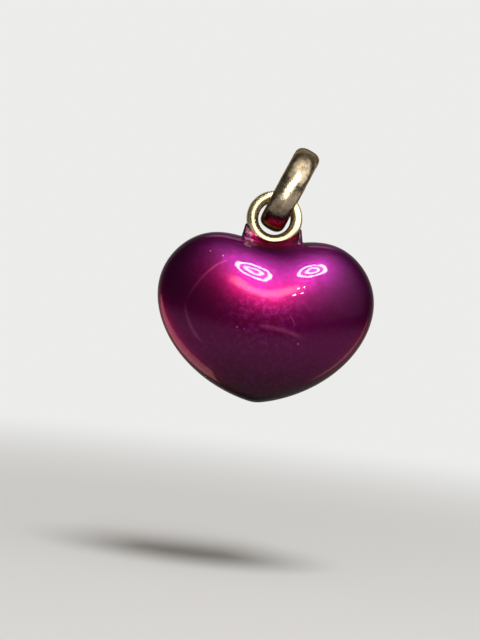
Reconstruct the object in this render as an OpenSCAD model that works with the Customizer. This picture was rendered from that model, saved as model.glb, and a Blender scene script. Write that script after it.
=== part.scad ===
// Puffy heart pendant: a domed enamel heart, a wire eye bedded in its cleft, and a loose bail ring.
// The origin is the centre of the bail ring, where a chain runs through. The heart hangs upright
// below it, +Z up, +X to the right, with its front face towards -Y. Sizes are in millimetres.

/* [Heart] */
// Width across both lobes
heart_w = 20; // [14:0.5:30]
// Height from the bottom of the cleft to the tip
heart_h = 14.55; // [10:0.05:22]
// Thickness from the front face to the back face
heart_t = 10; // [6:0.1:15]
// How steeply the lobes rise away from the cleft
lobe_slope = 0.311; // [0.15:0.001:0.45]
// How steeply the flanks rise away from the tip
tip_slope = 0.188; // [0.05:0.001:0.35]
// Height of the crown on the top of each lobe
lobe_crown = 0.37; // [0:0.01:0.8]
// Rounding at the bottom of the cleft, on the rim
cleft_round = 0.6; // [0.1:0.05:1.5]
// Rounding at the tip, on the rim
tip_round = 0.4; // [0.1:0.05:1.5]
// Rounding added towards the middle of each face, where the crease fades out
face_round = 1.8; // [0.5:0.1:5]
// Depth of the dimple that runs from the cleft down each face
dimple_depth = 0.42; // [0:0.02:1]
// Half width of that dimple
dimple_w = 2.5; // [1:0.1:4]

/* [Collar] */
// Rise of the collar under the middle of the eye
collar_rise = 0.75; // [0.5:0.01:0.9]
// Rise of the two lips that climb the sides of the eye
lip_rise = 1.45; // [0.9:0.05:1.6]
// How far each lip stands out beyond the side of the eye
lip_wall = 0.14; // [0.1:0.01:0.4]
// Half depth of the collar, front to back
collar_depth = 0.7; // [0.6:0.05:1.2]

/* [Eye] */
// Wire diameter of the eye
eye_wire = 1.1; // [0.7:0.05:1.6]
// How deep the eye is bedded below the bottom of the cleft
eye_bed = 0.1; // [0.02:0.02:0.5]
// Gap between the wire and its seat
seat_gap = 0.03; // [0.01:0.01:0.1]

/* [Bail ring] */
// Outer diameter of the ring
bail_od = 8.2; // [6.5:0.1:14]
// Width of its band
bail_band = 2.37; // [1.2:0.01:3]
// Thickness of its band, from the hole outwards
bail_wall = 1.6; // [0.8:0.05:2]
// Squareness of the band's section, where 2 is an ellipse
bail_square = 2.4; // [2:0.1:5]
// Lean of the ring towards +X
bail_lean = 22; // [0:1:60]
// Running gap between the band and the hole of the eye
link_gap = 0.3; // [0.15:0.05:0.8]
// How far the band has slid in that hole, from its middle towards the heart
link_slack = 0.3; // [0:0.05:0.35]

/* [Mesh] */
// Points round the heart's outline
outline_points = 96; // [60:2:120]
// Rows between the middle of the front face and the middle of the back face
face_rows = 37; // [21:2:47]

/* [Hidden] */
$fn = 96;
section_points = 40;

// How sharply each lip ends on its outer side
lip_edge = 40;

// How much closer together the mesh's columns stand at the cleft and tip, and its rows at the rim
column_crowding = 0.6;
row_crowding = 0.35;

enamel = "#6b0f50";
silver = "#c9c1a6";
dull_silver = "#8f8467";

bail_r = (bail_od - bail_wall) / 2;
bail_reach = max([for (p = bail_section()) norm(p)]);
eye_r = bail_reach + link_gap + eye_wire / 2;
eye_od = 2 * eye_r + eye_wire;
eye_drop = bail_r - link_slack;
lip_x = eye_od / 2 + lip_wall;

// Heights in the heart are counted from the centre of the eye.
cleft_z = eye_bed - eye_od / 2;
belt_z = cleft_z - heart_h / 2;

function mix(a, b, t) = a + (b - a) * t;
function ramp(t) = let (u = min(max(t, 0), 1)) u * u * u * (10 - 15 * u + 6 * u * u);
function power(v, e) = sign(v) * pow(abs(v), e);

// Superellipse, with the thickness of the band along X and its width along Y.
function bail_section() = [
    for (i = [0 : section_points - 1])
        let (a = 360 * i / section_points)
        [power(cos(a), 2 / bail_square) * bail_wall / 2, power(sin(a), 2 / bail_square) * bail_band / 2]
];

// A swell along the top of each lobe, which is highest a little way in from the shoulder.
function crown(nx, nz) = lobe_crown * 27 / 4 * nx * nx * pow(max(nz, 0), 4);

// A point of the heart's skin before the collar. The bearing turns from the cleft round to the tip, and
// the tilt from the rim to a face. An ellipsoid is sheared upwards on both sides of its middle. The
// crease that this makes is tight at the cleft and fades into the faces, where a dimple carries it on.
function plain_skin(bearing, tilt) =
    let (
        nx = sin(bearing) * cos(tilt),
        nz = cos(bearing) * cos(tilt),
        ny = sin(tilt),
        upper = (1 + nz) / 2,
        slope = mix(tip_slope, lobe_slope, upper),
        round = mix(tip_round, cleft_round, upper) + face_round * abs(ny),
        x = heart_w / 2 * nx,
        valley = exp(-pow(x / dimple_w, 2)) * ramp(nz)
    )
    [
        x,
        ny * (heart_t / 2 - dimple_depth * valley),
        belt_z + heart_h / 2 * nz + slope * (sqrt(x * x + round * round) - round) + crown(nx, nz)
    ];

// Rise of the collar at x along the cleft and y across it: a cradle with a lip at each end.
function collar(x, y) =
    let (
        u = abs(x) / lip_x,
        cradle = mix(collar_rise, lip_rise, min(u * u, 1)),
        ends = exp(-pow(u, lip_edge)),
        sides = exp(-pow(y / collar_depth, 2))
    )
    cradle * ends * sides;

function skin(bearing, tilt) =
    let (p = plain_skin(bearing, tilt))
    [p[0], p[1], p[2] + (cos(bearing) > 0 ? collar(p[0], p[1]) : 0)];

// Bearings crowd at the cleft and the tip, and tilts at the rim, where the skin turns quickest.
function crowded(t, crowding) = t - crowding * sin(2 * t) * 90 / PI;
function bearing_of(i) = crowded(360 * i / outline_points, column_crowding);
function tilt_of(j) = crowded(180 * j / (face_rows + 1) - 90, row_crowding);

function at(i, j) = 1 + (j - 1) * outline_points + i % outline_points;

module heart_body() {
    rows = [for (j = [1 : face_rows]) for (i = [0 : outline_points - 1]) skin(bearing_of(i), tilt_of(j))];
    front_pole = skin(0, -90);
    back_pole = skin(0, 90);
    last = face_rows * outline_points + 1;
    fans = [
        for (i = [0 : outline_points - 1])
            each [[0, at(i, 1), at(i + 1, 1)], [last, at(i + 1, face_rows), at(i, face_rows)]]
    ];
    bands = [
        for (j = [1 : face_rows - 1]) for (i = [0 : outline_points - 1])
            each [[at(i, j), at(i, j + 1), at(i + 1, j + 1)], [at(i, j), at(i + 1, j + 1), at(i + 1, j)]]
    ];
    polyhedron(points = concat([front_pole], rows, [back_pole]), faces = concat(fans, bands));
}

module wire_ring(thickness) {
    rotate([90, 0, 0]) rotate_extrude() translate([eye_r, 0]) circle(d = thickness);
}

module at_eye() {
    translate([-eye_drop * sin(bail_lean), 0, -eye_drop * cos(bail_lean)]) children();
}

module heart() {
    color(enamel)
    at_eye()
    difference() {
        heart_body();
        wire_ring(eye_wire + 2 * seat_gap);
    }
}

module eye() {
    color(silver)
    at_eye()
    wire_ring(eye_wire);
}

module bail_ring() {
    color(dull_silver)
    rotate([0, 90 + bail_lean, 0])
    rotate_extrude()
    translate([bail_r, 0])
    polygon(bail_section());
}

heart();
eye();
bail_ring();
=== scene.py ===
import math
import bpy
import numpy as np
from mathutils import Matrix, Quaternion, Vector, noise


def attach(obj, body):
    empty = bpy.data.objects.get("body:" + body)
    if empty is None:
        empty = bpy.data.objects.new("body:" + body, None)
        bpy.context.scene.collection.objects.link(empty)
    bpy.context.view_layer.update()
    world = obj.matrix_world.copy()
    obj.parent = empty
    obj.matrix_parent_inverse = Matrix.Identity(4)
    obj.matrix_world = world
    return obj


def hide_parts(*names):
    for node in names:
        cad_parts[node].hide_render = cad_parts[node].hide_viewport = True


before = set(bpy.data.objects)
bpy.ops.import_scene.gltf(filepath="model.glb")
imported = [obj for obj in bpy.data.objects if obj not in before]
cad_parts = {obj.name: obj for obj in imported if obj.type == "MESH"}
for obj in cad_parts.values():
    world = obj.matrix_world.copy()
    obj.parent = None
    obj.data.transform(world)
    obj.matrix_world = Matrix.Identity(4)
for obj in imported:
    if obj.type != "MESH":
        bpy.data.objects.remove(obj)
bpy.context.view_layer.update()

# The looks of a puffy heart pendant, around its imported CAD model. Lengths are in millimetres, unless
# a comment says otherwise, and colours are linear.
MM = 0.001

# Sizes of the pendant, with the same values as in the CAD model
HEART_W = 20
HEART_H = 14.55
HEART_T = 10
LOBE_SLOPE = 0.311
TIP_SLOPE = 0.188
LOBE_CROWN = 0.37
CLEFT_ROUND = 0.6
TIP_ROUND = 0.4
FACE_ROUND = 1.8
DIMPLE_DEPTH = 0.42
DIMPLE_W = 2.5
COLLAR_RISE = 0.75
LIP_RISE = 1.45
LIP_WALL = 0.14
LIP_EDGE = 40
COLLAR_DEPTH = 0.7
EYE_WIRE = 1.1
EYE_BED = 0.1
BAIL_OD = 8.2
BAIL_BAND = 2.37
BAIL_WALL = 1.6
BAIL_SQUARE = 2.4
BAIL_LEAN = math.radians(22)
LINK_GAP = 0.3
LINK_SLACK = 0.3
# Points round the band's section, from which the CAD model finds how far the band reaches
SECTION_POINTS = 40
# Makes the crown LOBE_CROWN high at its top, because the product in it is 4 / 27 at most
CROWN_SCALE = 27 / 4

# Fine relief that the CAD model leaves out: a bead along the foot of the collar, then dents and
# rubbed places on the two rings, each as the spacing and the depth of a noise
BEAD_RISE = 0.07
BEAD_AT = 0.92
BEAD_WIDTH = 0.14
EYE_WEAR = [(0.9, 0.014), (0.25, 0.004)]
BAIL_WEAR = [(1.3, 0.03), (0.5, 0.012), (0.2, 0.005)]

# Fineness of the meshes, and how much the heart's points crowd where its skin turns quickest
HEART_COLUMNS = 384
HEART_ROWS = 241
COLUMN_CROWDING = 0.6
ROW_CROWDING = 0.5
RING_TURN = 256
WIRE_ROUND = 64
BAND_ROUND = 96

# The camera's place, from the photograph's frame
PHOTO_W = 480
PHOTO_H = 640
PIXELS_PER_MM = 10.84
CAMERA_DISTANCE = 150
CAMERA_NEAR = 5
CAMERA_ROLL = math.radians(6.2)
EYE_PIXEL = (274.4, 218.7)
# How much nearer to the camera the heart's face is than the eye
FACE_NEARER = 4.5

# Wear and a painted reflection on the front face: lines with their ends in the photograph's pixels, and
# their bow, width and strength, then specks with their pixel and size. The fourth line is a painted
# reflection, the others are scratches
HAIRLINES_AND_REFLECTION = [
    ((226, 261), (183, 308), -0.50, 0.17, 0.22),
    ((183, 302), (203, 348), -0.45, 0.26, 0.24),
    ((288, 318), (294, 330), 0.10, 0.07, 0.45),
    # A painted reflection, not a scratch
    ((254, 329), (304, 343), 0.30, 0.32, 0.34),
    ((228, 262), (212, 268), 0.05, 0.07, 0.22),
]
SPECKS = [((209, 253), 0.10), ((236, 330), 0.13), ((243, 332), 0.09), ((297, 347), 0.12), ((222, 258), 0.08)]
# The share of a line's half length, and of a speck's size, at which each starts to fade
LINE_CORE = 0.5
SPECK_CORE = 0.4
SPECK_STRENGTH = 0.8

# Colours of the enamel: two that drift over it, painted light on its lower half and painted shade at its
# tip, the grain of the metal under it brightened as a painted sheen, a painted reflection on the collar
# and painted shade at the collar's ends, its scratches and one painted reflection line, and a tint for
# what it mirrors at its edges
ENAMEL_DARK = (0.066, 0.0034, 0.049)
ENAMEL_LIGHT = (0.086, 0.0052, 0.072)
ENAMEL_LOWER_PAINTED_LIGHT = (0.112, 0.0028, 0.062)
ENAMEL_TIP_PAINTED_SHADE = (0.026, 0.0006, 0.010)
ENAMEL_GRAIN_AND_SHEEN = (0.22, 0.020, 0.21)
COLLAR_PAINTED_REFLECTION = (0.19, 0.0043, 0.057)
COLLAR_PAINTED_SHADE = (0.012, 0.0004, 0.003)
SCRATCH_AND_REFLECTION_PINK = (0.47, 0.09, 0.26)
ENAMEL_EDGE = (0.3, 0.1, 0.2)
# Heights between which the painted light of the lower half and the painted shade of the tip come in
LOWER_LIGHT_FADE = (-13.0, -7.0)
TIP_SHADE_FADE = (-19.5, -12.0)
# The grain and its painted sheen: how far above the heart's middle it is strongest, how much quicker it
# fades up and down than to the sides, and the reach over which it fades, and from what share to what
GRAIN_SHEEN_LIFT = 0.5
GRAIN_SHEEN_SQUASH = 1.5
GRAIN_SHEEN_REACH = (1.0, 5.5)
GRAIN_SHEEN_SHARE = (0.62, 0.12)
# Reach from the centre of the eye over which the collar's painted reflection and its uneven skin end, and
# then how far to each side its red painted reflection turns to painted shade
COLLAR_FADE = (2.9, 3.6)
UNEVEN_FADE = (3.2, 4.0)
COLLAR_ENDS = (1.4, 2.4)
# How much stronger the clear coat's ripples on the collar are than its slow waves
COLLAR_UNEVEN = 9.0

# The silver: how closely its fine scratches lie along X, Y and Z, their share of the tarnish and their
# part of the relief, and how much the roughness varies
HAIR_DENSITY = (7.0, 0.9, 0.9)
HAIR_TARNISH = 0.35
HAIR_RELIEF = 2.0
ROUGHNESS_SPREAD = 0.3
# The painted shade at the bottom of the bail ring, the heights between which it ends, its greatest share,
# and how far its edge wanders
BAIL_PAINTED_SHADE = (0.075, 0.045, 0.035)
BAIL_SHADE_FADE = (-2.0, 1.2)
BAIL_SHADE_SHARE = 0.85
BAIL_SHADE_WANDER = 2.0

# The key lamp: its distance, and half the angle that its width fills, seen from the heart
KEY_DISTANCE = 400
KEY_HALF_ANGLE = math.radians(12)
# It is two lamps. The soft one, which gives the light, is this much further away and wider. The other
# gives the glare, and its width and height are these shares of that width.
KEY_SOFT_SCALE = 1.1
GLARE_WIDTH = 1.02
GLARE_HEIGHT = 0.74
# Rings in the glare, as their middle and half width in shares of the lamp, then the share of the half
# width at which they start to fade, what they add to the glare, and the glare without them
GLARE_RINGS = [(0.43, 0.068), (0.19, 0.058)]
RING_CORE = 0.7
RING_STRENGTH = 77.0
GLARE_STRENGTH = 3.0
# The pink strip's strength, and the shares of it between which it fades
STRIP_STRENGTH = 81
STRIP_FADE = (0.1, 0.5)
# Four small lamps at the corners of a rectangle: its middle, and half its width and height, in degrees
SPARK_AZIMUTH = 11
SPARK_ELEVATION = 37
SPARK_ASIDE = 2.8
SPARK_ABOVE = 3.4

# The floor and the room. Reach over which the floor turns into the background, and the range of
# headings, from 0 at the side to 1 straight behind, over which the backdrop comes into reflections.
FLOOR_Z = -36
FLOOR_HALF = 3000
FLOOR_COLOUR = (0.66, 0.66, 0.65)
FLOOR_FADE = (42, 190)
PALE = (0.84, 0.84, 0.83)
BEHIND = (0.35, 0.9)
ROOM = (0.07, 0.065, 0.06)
# Bright areas of the room: azimuth, elevation, and how far from there they end and are full, in
# degrees, then their colour
BRIGHT_AREAS = [
    (30, 55, 50, 12, (0.78, 0.73, 0.67)),
    (60, 20, 45, 10, (0.42, 0.38, 0.35)),
]

WHITE = (1, 1, 1)
BLACK = (0, 0, 0)
# The Mix node's sockets for colours, which share their names with its sockets for numbers
MIX_FACTOR = 0
MIX_FIRST = 6
MIX_SECOND = 7
MIX_RESULT = 2


def power(value, exponent):
    return np.sign(value) * np.abs(value) ** exponent


def ramp(t):
    """A smooth step from 0 to 1, level at both ends."""
    u = np.clip(t, 0, 1)
    return u ** 3 * (10 - 15 * u + 6 * u * u)


def mix(a, b, t):
    return a + (b - a) * t


def full_turn(count):
    """Angles in even steps once round."""
    return np.arange(count) * 2 * math.pi / count


def bail_section(count):
    """The band's section as a superellipse: thickness outwards, width along the ring's axis."""
    angle = full_turn(count)
    out = power(np.cos(angle), 2 / BAIL_SQUARE) * BAIL_WALL / 2
    along = power(np.sin(angle), 2 / BAIL_SQUARE) * BAIL_BAND / 2
    return out, along


BAIL_R = (BAIL_OD - BAIL_WALL) / 2
EYE_R = np.hypot(*bail_section(SECTION_POINTS)).max() + LINK_GAP + EYE_WIRE / 2
EYE_OD = 2 * EYE_R + EYE_WIRE
EYE_DROP = BAIL_R - LINK_SLACK
EYE_AT = np.array([-EYE_DROP * math.sin(BAIL_LEAN), 0, -EYE_DROP * math.cos(BAIL_LEAN)])
CLEFT_Z = EYE_BED - EYE_OD / 2
BELT_Z = CLEFT_Z - HEART_H / 2
LIP_X = EYE_OD / 2 + LIP_WALL
HEART_AT = EYE_AT + (0, 0, BELT_Z)


def plain_skin(bearing, tilt):
    """The heart's skin before its collar, counted from the centre of the eye."""
    nx = np.sin(bearing) * np.cos(tilt)
    nz = np.cos(bearing) * np.cos(tilt)
    ny = np.sin(tilt)
    upper = (1 + nz) / 2
    slope = mix(TIP_SLOPE, LOBE_SLOPE, upper)
    rounding = mix(TIP_ROUND, CLEFT_ROUND, upper) + FACE_ROUND * np.abs(ny)
    crown = LOBE_CROWN * CROWN_SCALE * nx ** 2 * np.maximum(nz, 0) ** 4
    x = HEART_W / 2 * nx
    valley = np.exp(-(x / DIMPLE_W) ** 2) * ramp(nz)
    y = ny * (HEART_T / 2 - DIMPLE_DEPTH * valley)
    z = BELT_Z + HEART_H / 2 * nz + slope * (np.hypot(x, rounding) - rounding) + crown
    return x, y, z


def skin(bearing, tilt):
    """The heart's skin with the collar that cradles the eye."""
    x, y, z = plain_skin(bearing, tilt)
    u = np.abs(x) / LIP_X
    cradle = mix(COLLAR_RISE, LIP_RISE, np.minimum(u * u, 1))
    slope = np.exp(-(y / COLLAR_DEPTH) ** 2)
    bead = BEAD_RISE * np.exp(-((np.abs(y) - BEAD_AT) / BEAD_WIDTH) ** 2)
    collar = (cradle * slope + bead) * np.exp(-u ** LIP_EDGE)
    return np.stack([x, y, z + np.where(np.cos(bearing) > 0, collar, 0)], -1)


def crowded(t, crowding):
    """Angles drawn together where the skin turns quickest."""
    return t - crowding * np.sin(2 * t) / 2


def add(name, data):
    """A new object in the scene."""
    made = bpy.data.objects.new(name, data)
    bpy.context.scene.collection.objects.link(made)
    return made


def smooth_piece(name, points, poles=None):
    """A smooth closed mesh from rows of points that run round, capped by two poles or joined end to end."""
    rows, columns = points.shape[:2]
    at = np.arange(rows * columns).reshape(rows, columns)
    if poles is None:
        at = np.vstack([at, at[:1]])
    right = np.roll(at, -1, axis=1)
    faces = np.stack([at[:-1], right[:-1], right[1:], at[1:]], -1).reshape(-1, 4).tolist()
    places = points.reshape(-1, 3).tolist()
    if poles is not None:
        first = len(places)
        last = first + 1
        places += [list(p) for p in poles]
        faces += [[first, b, a] for a, b in zip(at[0].tolist(), right[0].tolist())]
        faces += [[last, a, b] for a, b in zip(at[-1].tolist(), right[-1].tolist())]
    mesh = bpy.data.meshes.new(name)
    mesh.from_pydata([[c * MM for c in p] for p in places], [], faces)
    mesh.shade_smooth()
    return add(name, mesh)


def wear(points, centre, depths):
    """Move points towards or from the centre line of their ring by noise, as dents and rubbed places."""
    moved = points.copy()
    for i, row in enumerate(points):
        for j, p in enumerate(row):
            shift = sum(depth * noise.noise(Vector(p) / spacing) for spacing, depth in depths)
            out = p - centre[i]
            moved[i, j] = p + out / np.linalg.norm(out) * shift
    return moved


def make_heart():
    columns = crowded(full_turn(HEART_COLUMNS), COLUMN_CROWDING)
    rows = crowded(np.linspace(-math.pi / 2, math.pi / 2, HEART_ROWS + 2), ROW_CROWDING)
    bearing, tilt = np.meshgrid(columns, rows[1:-1])
    poles = [skin(np.array(0.0), np.array(side * math.pi / 2)) + EYE_AT for side in (-1, 1)]
    piece = smooth_piece("enamel_heart", skin(bearing, tilt) + EYE_AT, poles)
    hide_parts("heart")
    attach(piece, "pendant")
    return piece


def make_eye():
    around, turn = np.meshgrid(full_turn(WIRE_ROUND), full_turn(RING_TURN))
    reach = EYE_R + EYE_WIRE / 2 * np.cos(around)
    points = np.stack([reach * np.sin(turn), EYE_WIRE / 2 * np.sin(around), reach * np.cos(turn)], -1)
    line = EYE_R * np.stack([np.sin(turn), 0 * turn, np.cos(turn)], -1)[:, 0]
    piece = smooth_piece("eye_wire", wear(points + EYE_AT, line + EYE_AT, EYE_WEAR))
    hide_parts("eye")
    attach(piece, "pendant")
    return piece


def make_bail_ring():
    turn = full_turn(RING_TURN)[:, None]
    up = np.array([math.sin(BAIL_LEAN), 0, math.cos(BAIL_LEAN)])
    across = np.array([math.cos(BAIL_LEAN), 0, -math.sin(BAIL_LEAN)])
    outward = np.cos(turn) * up + np.sin(turn) * np.array([0, 1, 0])
    out, along = bail_section(BAND_ROUND)
    points = outward[:, None] * (BAIL_R + out[None, :, None]) + along[None, :, None] * across
    piece = smooth_piece("bail_band", wear(points, outward * BAIL_R, BAIL_WEAR))
    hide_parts("bail_ring")
    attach(piece, "bail")
    return piece


class Paint:
    """The nodes of a material, a lamp or the world, with short calls that add to them."""

    def __init__(self, owner):
        owner.use_nodes = True
        self.owner = owner
        self.tree = owner.node_tree

    def put(self, inputs, values):
        """Fill sockets, by name or number, with values or with links from other nodes."""
        for key, value in values.items():
            if isinstance(value, bpy.types.NodeSocket):
                self.tree.links.new(value, inputs[key])
            else:
                inputs[key].default_value = value

    def fill(self, name, values):
        """Fill sockets of a node that is there already."""
        self.put(self.tree.nodes[name].inputs, values)

    def shade(self, values):
        self.fill("Principled BSDF", values)

    def node(self, kind, values, **settings):
        """The outputs of a new node."""
        made = self.tree.nodes.new("ShaderNode" + kind)
        for key, value in settings.items():
            setattr(made, key, value)
        self.put(made.inputs, values)
        return made.outputs

    def place(self):
        """The place on the piece at rest, in millimetres from the frame's origin."""
        where = self.node("TexCoord", {})["Object"]
        return self.node("VectorMath", {"Vector": where, "Scale": 1 / MM}, operation="SCALE")["Vector"]

    def part(self, vector, axis):
        """One of a vector's three numbers, by its axis."""
        return self.node("SeparateXYZ", {"Vector": vector})[axis]

    def vector(self, operation, *values):
        """A vector worked out from others."""
        return self.node("VectorMath", dict(enumerate(values)), operation=operation)["Vector"]

    def measure(self, operation, *values):
        """A number worked out from vectors, such as a length."""
        return self.node("VectorMath", dict(enumerate(values)), operation=operation)["Value"]

    def math(self, operation, *values):
        return self.node("Math", dict(enumerate(values)), operation=operation)["Value"]

    def apart(self, value, middle):
        """How far a number is from a middle one, on either side."""
        return self.math("ABSOLUTE", self.math("SUBTRACT", value, middle))

    def noise(self, vector, scale, detail=2, roughness=0.5, distortion=0):
        values = {"Vector": vector, "Scale": scale, "Detail": detail, "Roughness": roughness}
        return self.node("TexNoise", {**values, "Distortion": distortion})["Fac"]

    def remap(self, value, low, high, at_low=0, at_high=1):
        """A number that goes smoothly from one value to another between low and high."""
        values = {"Value": value, "From Min": low, "From Max": high, "To Min": at_low, "To Max": at_high}
        return self.node("MapRange", values, interpolation_type="SMOOTHSTEP")["Result"]

    def fall(self, value, low, high, at_low=1):
        """A number that falls smoothly to 0 between low and high."""
        return self.remap(value, low, high, at_low, 0)

    def blend(self, factor, first, second, mode="MIX"):
        """Mix two colours. A colour is a link or three linear numbers."""
        colours = [c if isinstance(c, bpy.types.NodeSocket) else (*c, 1) for c in (first, second)]
        values = {MIX_FACTOR: factor, MIX_FIRST: colours[0], MIX_SECOND: colours[1]}
        return self.node("Mix", values, data_type="RGBA", blend_type=mode)[MIX_RESULT]

    def bump(self, height, strength, distance):
        """A bumpy normal. Distance is in millimetres."""
        values = {"Height": height, "Strength": strength, "Distance": distance * MM}
        return self.node("Bump", values)["Normal"]


def enamel_paint():
    """Translucent purple enamel over metal: a deep coloured metallic base under a clear glossy coat."""
    paint = Paint(bpy.data.materials.new("enamel"))
    where = paint.place()
    height = paint.part(where, "Z")
    cloud = paint.noise(where, scale=0.35, detail=3)
    grain = paint.noise(where, scale=2.3, detail=5, roughness=0.72)
    colour = paint.blend(paint.remap(cloud, low=0.3, high=0.7), ENAMEL_DARK, ENAMEL_LIGHT)
    # Painted light on the lower half, and painted shade darkening the tip
    colour = paint.blend(paint.fall(height, *LOWER_LIGHT_FADE), colour, ENAMEL_LOWER_PAINTED_LIGHT)
    colour = paint.blend(paint.fall(height, *TIP_SHADE_FADE), colour, ENAMEL_TIP_PAINTED_SHADE)
    # The metal's grain, brightened in the middle of each face as a painted sheen
    colour = paint.blend(grain_and_sheen_share(paint, where, grain), colour, ENAMEL_GRAIN_AND_SHEEN)
    # A painted reflection on the collar, with painted shade at its ends
    colour = paint.blend(near_eye(paint, where, *COLLAR_FADE), colour, collar_reflection_and_shade(paint, where))
    # Scratches and specks, with one painted reflection line
    colour = paint.blend(scratches(paint, where), colour, SCRATCH_AND_REFLECTION_PINK)
    paint.shade({"Base Color": colour, "Metallic": 1, "Roughness": 0.41})
    paint.shade({"Coat Weight": 0.26, "Coat Roughness": 0.03, "Specular Tint": (*ENAMEL_EDGE, 1)})
    paint.shade({"Normal": paint.bump(grain, strength=0.35, distance=0.04)})
    paint.shade({"Coat Normal": paint.bump(coat_waves(paint, where), strength=0.3, distance=0.06)})
    return paint.owner


def grain_and_sheen_share(paint, where, grain):
    """How much of the metal's grain is laid on, brightened as a painted sheen. It is strongest in the middle
    of each face.
    """
    off = paint.vector("SUBTRACT", where, HEART_AT + (0, 0, GRAIN_SHEEN_LIFT))
    reach = paint.measure("LENGTH", paint.vector("MULTIPLY", off, (1, 0, GRAIN_SHEEN_SQUASH)))
    depth = paint.remap(reach, *GRAIN_SHEEN_REACH, *GRAIN_SHEEN_SHARE)
    return paint.math("MULTIPLY", depth, paint.remap(grain, low=0.44, high=0.66))


def near_eye(paint, where, inner, outer):
    """How near a place is to the centre of the eye, from 1 at the inner reach to 0 at the outer one."""
    return paint.fall(paint.measure("LENGTH", paint.vector("SUBTRACT", where, EYE_AT)), inner, outer)


def collar_reflection_and_shade(paint, where):
    """A red painted reflection on the enamel under the eye, which turns to painted shade at both ends of the
    collar.
    """
    aside = paint.apart(paint.part(where, "X"), EYE_AT[0])
    return paint.blend(paint.remap(aside, *COLLAR_ENDS), COLLAR_PAINTED_REFLECTION, COLLAR_PAINTED_SHADE)


def coat_waves(paint, where):
    """The clear coat's slow waves, with a much more uneven skin on the collar."""
    ripples = paint.noise(where, scale=2.6, detail=1)
    uneven = paint.math("MULTIPLY", ripples, near_eye(paint, where, *UNEVEN_FADE))
    return paint.math("MULTIPLY_ADD", uneven, COLLAR_UNEVEN, paint.noise(where, scale=0.55))


def on_face(pixel):
    """The place on the heart's front face, without its depth, that the photograph shows at a pixel."""
    scale = (1 - FACE_NEARER / CAMERA_DISTANCE) / PIXELS_PER_MM
    across = (pixel[0] - EYE_PIXEL[0]) * scale
    down = (pixel[1] - EYE_PIXEL[1]) * scale
    x = across * math.cos(CAMERA_ROLL) + down * math.sin(CAMERA_ROLL)
    z = across * math.sin(CAMERA_ROLL) - down * math.cos(CAMERA_ROLL)
    return EYE_AT + (x, 0, z)


def stroke(paint, flat, start, end, sag, width, strength):
    """A light line from start to end, bowed by sag to its left, with soft ends, for a scratch and for the
    painted reflection.
    """
    a, b = on_face(start), on_face(end)
    half = np.linalg.norm(b - a) / 2
    along = (b - a) / (2 * half)
    aside = np.array([-along[2], 0, along[0]])
    off = paint.vector("SUBTRACT", flat, (a + b) / 2)
    t = paint.measure("DOT_PRODUCT", off, along / half)
    bow = paint.math("MULTIPLY_ADD", paint.math("MULTIPLY", t, t), -sag, sag)
    near = paint.fall(paint.apart(paint.measure("DOT_PRODUCT", off, aside), bow), 0, width, at_low=strength)
    return paint.math("MULTIPLY", near, paint.fall(paint.math("ABSOLUTE", t), LINE_CORE, 1))


def scratches(paint, where):
    """The scratches, specks and one painted reflection line on the front face, as a share from 0 to 1."""
    flat = paint.vector("MULTIPLY", where, (1, 0, 1))
    marks = 0
    for line_mark in HAIRLINES_AND_REFLECTION:
        marks = paint.math("MAXIMUM", marks, stroke(paint, flat, *line_mark))
    for pixel, size in SPECKS:
        off = paint.measure("DISTANCE", flat, on_face(pixel))
        speck = paint.fall(off, SPECK_CORE * size, size, at_low=SPECK_STRENGTH)
        marks = paint.math("MAXIMUM", marks, speck)
    front = paint.fall(paint.part(where, "Y"), low=-1, high=0)
    return paint.math("MULTIPLY", marks, front)


def silver_paint(name, bright, tarnished, edge, roughness):
    """Worn silver with patches of tarnish and fine scratches. Returns its nodes and its colour.

    Edge tints what it mirrors at a glancing angle.
    """
    paint = Paint(bpy.data.materials.new(name))
    where = paint.place()
    patches = paint.noise(where, scale=1.1, detail=4, roughness=0.65, distortion=0.6)
    specks = paint.noise(where, scale=9.0, detail=3, roughness=0.6)
    drawn_out = paint.vector("MULTIPLY", where, HAIR_DENSITY)
    hairs = paint.noise(drawn_out, scale=2.2, detail=3, roughness=0.6)
    plain = paint.math("MULTIPLY", patches, 1 - HAIR_TARNISH)
    tarnish = paint.math("MULTIPLY_ADD", hairs, HAIR_TARNISH, plain)
    relief = paint.math("MULTIPLY_ADD", hairs, HAIR_RELIEF, specks)
    least, most = roughness * (1 - ROUGHNESS_SPREAD), roughness * (1 + ROUGHNESS_SPREAD)
    paint.shade({"Metallic": 1, "Specular Tint": (*edge, 1)})
    paint.shade({"Roughness": paint.remap(specks, low=0.3, high=0.7, at_low=least, at_high=most)})
    paint.shade({"Normal": paint.bump(relief, strength=0.12, distance=0.03)})
    return paint, paint.blend(paint.remap(tarnish, low=0.40, high=0.66), bright, tarnished)


def eye_paint():
    """The eye's silver, bright and slightly yellow."""
    paint, colour = silver_paint(
        "eye_silver",
        bright=(0.92, 0.80, 0.53),
        tarnished=(0.78, 0.65, 0.41),
        edge=(0.5, 0.42, 0.29),
        roughness=0.29,
    )
    paint.shade({"Base Color": colour})
    return paint.owner


def bail_paint():
    """The bail ring's tarnished silver, with painted shade in its lower half, where it hangs in the eye."""
    paint, colour = silver_paint(
        "bail_silver",
        bright=(0.66, 0.55, 0.38),
        tarnished=(0.23, 0.17, 0.11),
        edge=(0.2, 0.16, 0.12),
        roughness=0.22,
    )
    where = paint.place()
    height = paint.part(where, "Z")
    # Painted shade, darker towards the bottom, where the ring hangs in the eye
    wandering = paint.math("MULTIPLY_ADD", paint.noise(where, scale=1.5), BAIL_SHADE_WANDER, height)
    low = paint.fall(wandering, *BAIL_SHADE_FADE, at_low=BAIL_SHADE_SHARE)
    paint.shade({"Base Color": paint.blend(low, colour, BAIL_PAINTED_SHADE)})
    return paint.owner


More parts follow.
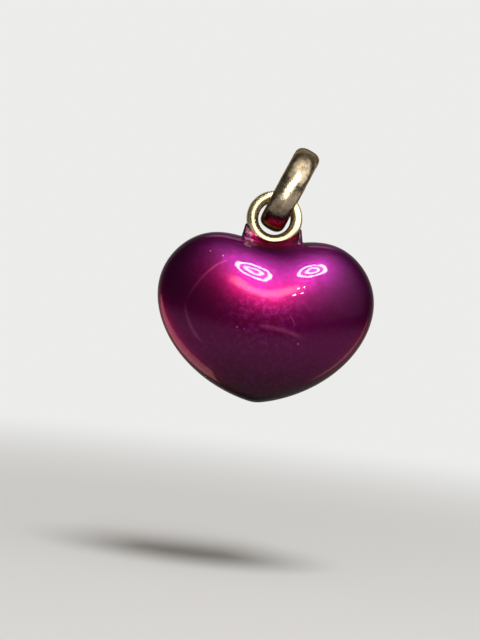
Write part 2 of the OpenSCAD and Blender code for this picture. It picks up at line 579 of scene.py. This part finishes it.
def toward(azimuth, elevation):
    """A direction from the pendant: azimuth 0 is towards the camera, and positive turns to the right."""
    a, e = math.radians(azimuth), math.radians(elevation)
    return np.array([math.sin(a) * math.cos(e), -math.cos(a) * math.cos(e), math.sin(e)])


def make_camera():
    camera = add("camera", bpy.data.cameras.new("camera"))
    right = np.array([math.cos(CAMERA_ROLL), 0, math.sin(CAMERA_ROLL)])
    up = np.array([-math.sin(CAMERA_ROLL), 0, math.cos(CAMERA_ROLL)])
    away_right = (EYE_PIXEL[0] - PHOTO_W / 2) / PIXELS_PER_MM
    away_up = (PHOTO_H / 2 - EYE_PIXEL[1]) / PIXELS_PER_MM
    aim = EYE_AT - away_right * right - away_up * up
    camera.location = Vector((aim - np.array([0, CAMERA_DISTANCE, 0])) * MM)
    camera.rotation_euler = (math.pi / 2, -CAMERA_ROLL, 0)
    camera.data.lens = camera.data.sensor_width * CAMERA_DISTANCE * PIXELS_PER_MM / PHOTO_H
    camera.data.clip_start = CAMERA_NEAR * MM
    bpy.context.scene.camera = camera


def lamp(
    name, azimuth, elevation, distance, width, height, radiance,
    colour=WHITE, about=HEART_AT, turn=0, lights=None,
):
    """An oval area lamp that faces a place, with its radiance where white is 1.

    Angles are in degrees. Where pieces are named in lights, it lights these alone.
    """
    data = bpy.data.lights.new(name, "AREA")
    data.shape = "ELLIPSE"
    data.size = width * MM
    data.size_y = height * MM
    data.color = colour
    data.energy = radiance * math.pi * (math.pi / 4 * width * height * MM * MM)
    made = add(name, data)
    made.visible_camera = False
    ahead = Vector(toward(azimuth, elevation))
    made.location = (Vector(about) + ahead * distance) * MM
    roll = Quaternion((0, 0, 1), math.radians(turn))
    made.rotation_euler = (ahead.to_track_quat("Z", "Y") @ roll).to_euler()
    if lights:
        receivers = bpy.data.collections.new(made.name + "_receivers")
        for piece in lights:
            receivers.objects.link(piece)
        made.light_linking.receiver_collection = receivers
    return made


def from_lamp_middle(paint):
    """How far a point of a lamp is from its middle, as a share of its width."""
    spot = paint.node("NewGeometry", {})["Parametric"]
    return paint.measure("LENGTH", paint.vector("SUBTRACT", spot, (0.5, 0.5, 0)))


def key_lamp(heart, eye):
    """A round lamp whose glare has two bright rings, one inside the other."""
    width = 2 * KEY_DISTANCE * math.tan(KEY_HALF_ANGLE)
    soft = lamp(
        "key_soft", azimuth=21, elevation=60, distance=KEY_SOFT_SCALE * KEY_DISTANCE,
        width=KEY_SOFT_SCALE * width, height=KEY_SOFT_SCALE * width, radiance=20,
    )
    soft.visible_glossy = False
    glare = lamp(
        "key_glare", azimuth=20.5, elevation=60, distance=KEY_DISTANCE,
        width=GLARE_WIDTH * width, height=GLARE_HEIGHT * width, radiance=1, lights=[heart, eye],
    )
    glare.visible_diffuse = False
    paint = Paint(glare.data)
    reach = from_lamp_middle(paint)
    rings = 0
    for middle, half in GLARE_RINGS:
        ring = paint.fall(paint.apart(reach, middle), half * RING_CORE, half)
        rings = paint.math("ADD", rings, ring)
    strength = paint.math("MULTIPLY_ADD", rings, RING_STRENGTH, GLARE_STRENGTH)
    paint.fill("Emission", {"Strength": strength})


def smile_lamp(heart):
    """A soft pink strip, for the heart alone, which its clear coat mirrors as a curve under the key lamp."""
    strip = lamp(
        "smile_strip", azimuth=-2, elevation=40, distance=300,
        width=132, height=78, radiance=1, colour=(1.0, 0.16, 0.18), lights=[heart],
    )
    strip.visible_diffuse = False
    paint = Paint(strip.data)
    strength = paint.fall(from_lamp_middle(paint), *STRIP_FADE, at_low=STRIP_STRENGTH)
    paint.fill("Emission", {"Strength": strength})


def ring_cards(eye, bail_ring):
    """Cards for the bright sides of the eye and the streak along the bail ring."""
    lamp(
        "eye_card", azimuth=36, elevation=28, distance=100,
        width=250, height=210, radiance=2.5, colour=(1, 0.96, 0.8), lights=[eye],
    )
    lamp(
        "bail_card", azimuth=4, elevation=8, distance=50,
        width=13, height=84, radiance=6.5, about=(0, 0, 0), turn=-29, lights=[bail_ring],
    )
    lamp(
        "bail_glow", azimuth=50, elevation=35, distance=150,
        width=200, height=200, radiance=0.6, lights=[bail_ring],
    )


def rim_cards(heart):
    """Cards below and behind the heart, for the pale strips inside its rim and the light on its top."""
    lamp(
        "rim_card", azimuth=-112, elevation=-37, distance=26,
        width=12, height=40, radiance=4, colour=(1, 0.45, 0.45), lights=[heart],
    )
    lamp(
        "right_card", azimuth=108, elevation=-25, distance=28,
        width=4, height=26, radiance=2.5, colour=(1, 0.5, 0.4), lights=[heart],
    )
    lamp(
        "top_card", azimuth=180, elevation=62, distance=100,
        width=70, height=16, radiance=3.8, colour=(1, 0.6, 0.8), lights=[heart],
    )


def sparks(heart):
    """Four small lamps, which the clear coat mirrors as white points."""
    for above in (-1, 1):
        for aside in (-1, 1):
            lamp(
                "spark", azimuth=SPARK_AZIMUTH + SPARK_ASIDE * aside,
                elevation=SPARK_ELEVATION + SPARK_ABOVE * above, distance=300,
                width=10, height=10, radiance=130, lights=[heart],
            )


def mirrored(paint, path):
    """1 for a ray that a surface mirrors or lets through, and 0 for others."""
    return paint.math("MAXIMUM", path["Is Glossy Ray"], path["Is Transmission Ray"])


def backdrop(paint, heading, room):
    """The pale background, all round for the camera and behind the pendant for reflections, and the room."""
    path = paint.node("LightPath", {})
    behind = paint.remap(paint.part(heading, "Y"), *BEHIND)
    reflected = paint.math("MULTIPLY", mirrored(paint, path), behind)
    pale = paint.math("MAXIMUM", path["Is Camera Ray"], reflected)
    return paint.blend(pale, room, PALE)


def floor_paint():
    """A matt pale floor, which far away turns into the background for the camera and for reflections."""
    paint = Paint(bpy.data.materials.new("floor"))
    paint.shade({"Base Color": (*FLOOR_COLOUR, 1), "Roughness": 0.9})
    where = paint.place()
    background = backdrop(paint, paint.vector("NORMALIZE", where), ROOM)
    glow = paint.node("Emission", {"Color": background, "Strength": 1})["Emission"]
    path = paint.node("LightPath", {})
    direct = paint.math("MAXIMUM", path["Is Camera Ray"], mirrored(paint, path))
    far = paint.math("MULTIPLY", direct, paint.remap(paint.measure("LENGTH", where), *FLOOR_FADE))
    near = paint.tree.nodes["Principled BSDF"].outputs["BSDF"]
    shown = paint.node("MixShader", {0: far, 1: near, 2: glow})["Shader"]
    paint.fill("Material Output", {"Surface": shown})
    return paint.owner


def make_floor():
    """A wide floor under the pendant."""
    mesh = bpy.data.meshes.new("floor")
    corners = [(-1, -1), (1, -1), (1, 1), (-1, 1)]
    places = [(x * FLOOR_HALF * MM, y * FLOOR_HALF * MM, FLOOR_Z * MM) for x, y in corners]
    mesh.from_pydata(places, [], [(0, 1, 2, 3)])
    floor = add("floor", mesh)
    floor.data.materials.append(floor_paint())


def make_world():
    """A pale backdrop, and for the light a dim room with soft bright areas above and in front."""
    world = bpy.data.worlds.new("studio")
    bpy.context.scene.world = world
    paint = Paint(world)
    heading = paint.node("TexCoord", {})["Generated"]
    room = ROOM
    for azimuth, elevation, end, full, colour in BRIGHT_AREAS:
        near = paint.measure("DOT_PRODUCT", heading, toward(azimuth, elevation))
        share = paint.remap(near, math.cos(math.radians(end)), math.cos(math.radians(full)))
        room = paint.blend(1.0, room, paint.blend(share, BLACK, colour), mode="ADD")
    paint.fill("Background", {"Color": backdrop(paint, heading, room)})


heart = make_heart()
eye = make_eye()
bail_ring = make_bail_ring()
heart.data.materials.append(enamel_paint())
eye.data.materials.append(eye_paint())
bail_ring.data.materials.append(bail_paint())
make_floor()
make_world()
key_lamp(heart, eye)
smile_lamp(heart)
ring_cards(eye, bail_ring)
rim_cards(heart)
sparks(heart)
make_camera()

bpy.context.scene.view_settings.view_transform = "Standard"
